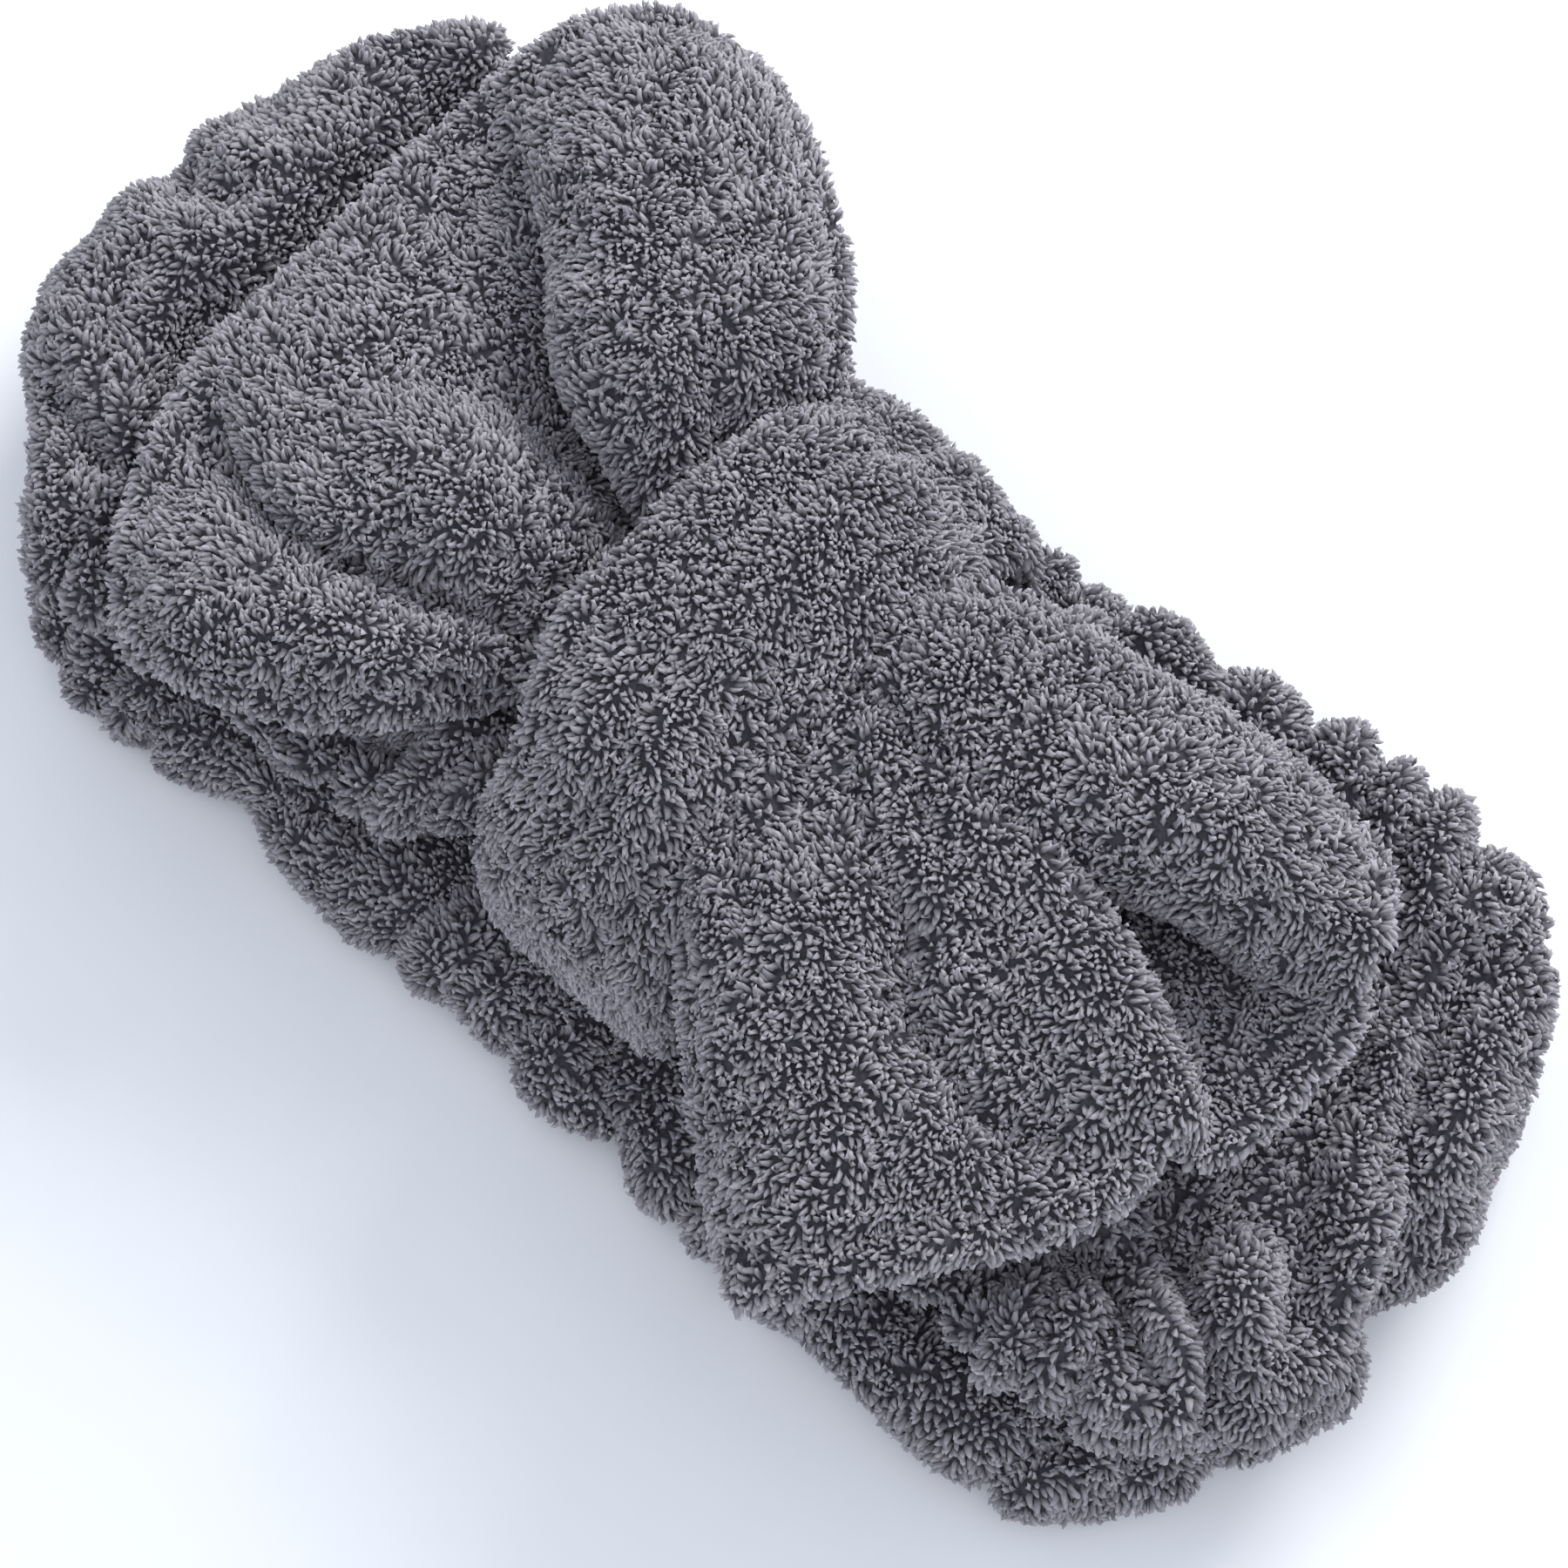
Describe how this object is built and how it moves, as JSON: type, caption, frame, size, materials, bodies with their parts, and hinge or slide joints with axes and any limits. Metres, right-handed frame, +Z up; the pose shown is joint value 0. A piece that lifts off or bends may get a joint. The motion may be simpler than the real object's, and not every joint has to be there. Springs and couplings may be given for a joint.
{
  "type": "spa headband",
  "caption": "Soft elastic spa headband in plush fleece, laid flat as a two-layer loop, with a broad fleece bow held by a centre knot strip; it stretches over the head to hold hair back.",
  "frame": {"origin": "middle of the back layer's underside, on the surface that the folded loop lies on, under the knot", "axes": "+X along the band towards the right wing of the bow, +Y across the band, +Z up through the two layers and the knot"},
  "size_m": [0.21, 0.1124, 0.058],
  "materials": {
    "fleece": "matte curly plush pile, cool dark grey with paler pile tips",
    "elastic": "woven elastic tape, off-white, satin",
    "thread": "twisted polyester sewing thread, dark grey"
  },
  "bodies": {
    "band_centre": {"sleeve_front": "fleece", "sleeve_back": "fleece", "elastic_front": "elastic", "elastic_back": "elastic", "elastic_lap_stitch": "thread", "sleeve_closing_seam": "thread", "sleeve_seam_front": "thread", "sleeve_seam_back": "thread", "bow_waist": "fleece", "waist_thread": "thread", "knot_strip": "fleece", "knot_closing_stitch": "thread"},
    "left_end": {"sleeve_left_turn": "fleece", "elastic_left_turn": "elastic", "sleeve_seam_left_turn": "thread"},
    "right_end": {"sleeve_right_turn": "fleece", "elastic_right_turn": "elastic", "sleeve_seam_right_turn": "thread"},
    "left_wing": {"bow_left_front_panel": "fleece", "bow_left_back_panel": "fleece", "bow_left_edge_seam": "thread"},
    "right_wing": {"bow_right_front_panel": "fleece", "bow_right_back_panel": "fleece", "bow_right_edge_seam": "thread"}
  },
  "joints": [
    {"name": "stretch_right", "type": "slide", "parent": "band_centre", "child": "right_end", "axis": [1, 0, 0], "range_m": [0, 0.04], "stiffness_N_per_m": 200},
    {"name": "stretch_left", "type": "slide", "parent": "band_centre", "child": "left_end", "axis": [-1, 0, 0], "range_m": [0, 0.04], "stiffness_N_per_m": 200},
    {"name": "lift_left_wing", "type": "hinge", "parent": "band_centre", "child": "left_wing", "pos_m": [-0.01086, 0.00172, 0.044], "axis": [0.1564, 0.9877, 0], "range_deg": [0, 50]},
    {"name": "lift_right_wing", "type": "hinge", "parent": "band_centre", "child": "right_wing", "pos_m": [0.02272, -0.0036, 0.044], "axis": [-0.1564, -0.9877, 0], "range_deg": [0, 50]}
  ],
  "couplings": [
    {"joint": "stretch_left", "follows": "stretch_right", "ratio": 1}
  ]
}
